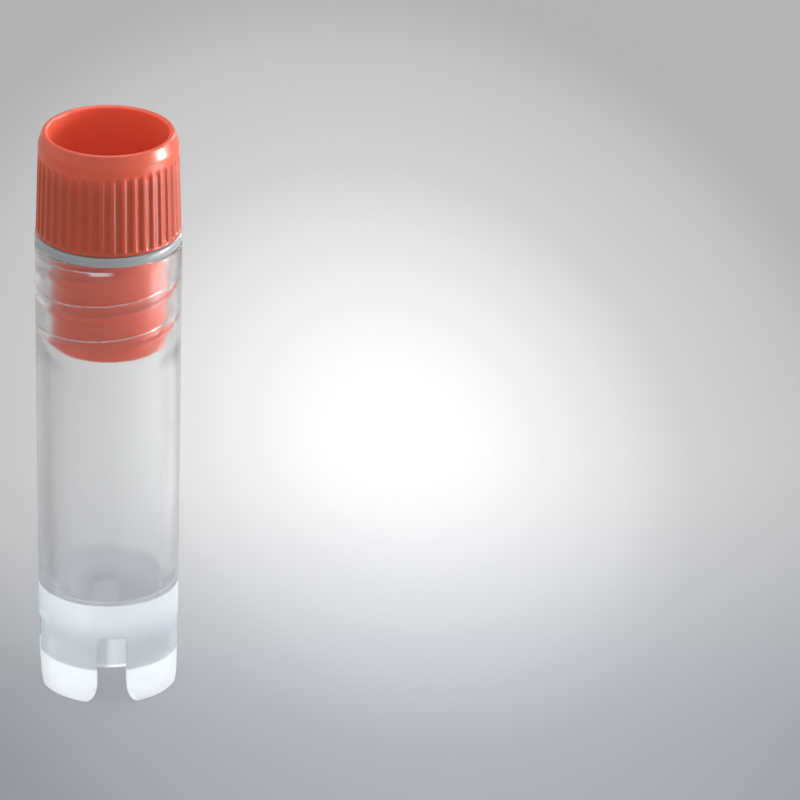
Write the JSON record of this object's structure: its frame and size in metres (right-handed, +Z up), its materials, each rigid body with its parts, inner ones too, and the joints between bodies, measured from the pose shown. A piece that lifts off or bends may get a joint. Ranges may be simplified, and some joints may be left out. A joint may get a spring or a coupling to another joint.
{
  "type": "cryovial",
  "caption": "Self-standing screw-cap vial with a dished chamber, an internal thread, a slotted skirt, a flat sealing ring and a ribbed cap with a deep top recess.",
  "frame": {"origin": "on the tube's axis, in the plane of the four soles that it stands on", "axes": "+Z up the tube's axis towards the cap; X and Y each pass through two opposite slots of the skirt"},
  "size_m": [0.0126, 0.0126, 0.051],
  "materials": {
    "clear_plastic": "clear plastic with a light frost",
    "seal_rubber": "milky white silicone",
    "cap_plastic": "orange-red moulded plastic, satin gloss"
  },
  "bodies": {
    "tube": {"tube": "clear_plastic"},
    "ring": {"sealing_ring": "seal_rubber"},
    "cap": {"screw_cap": "cap_plastic"}
  },
  "joints": [
    {"name": "thread_rise", "type": "slide", "parent": "tube", "child": "ring", "axis": [0, 0, 1], "range_m": [0, 0.0072]},
    {"name": "cap_turn", "type": "hinge", "parent": "ring", "child": "cap", "pos_m": [0, 0, 0.04205], "axis": [0, 0, 1], "range_deg": [0, 810]}
  ],
  "couplings": [
    {"joint": "cap_turn", "follows": "thread_rise", "rad_per_m": 1963.5}
  ]
}
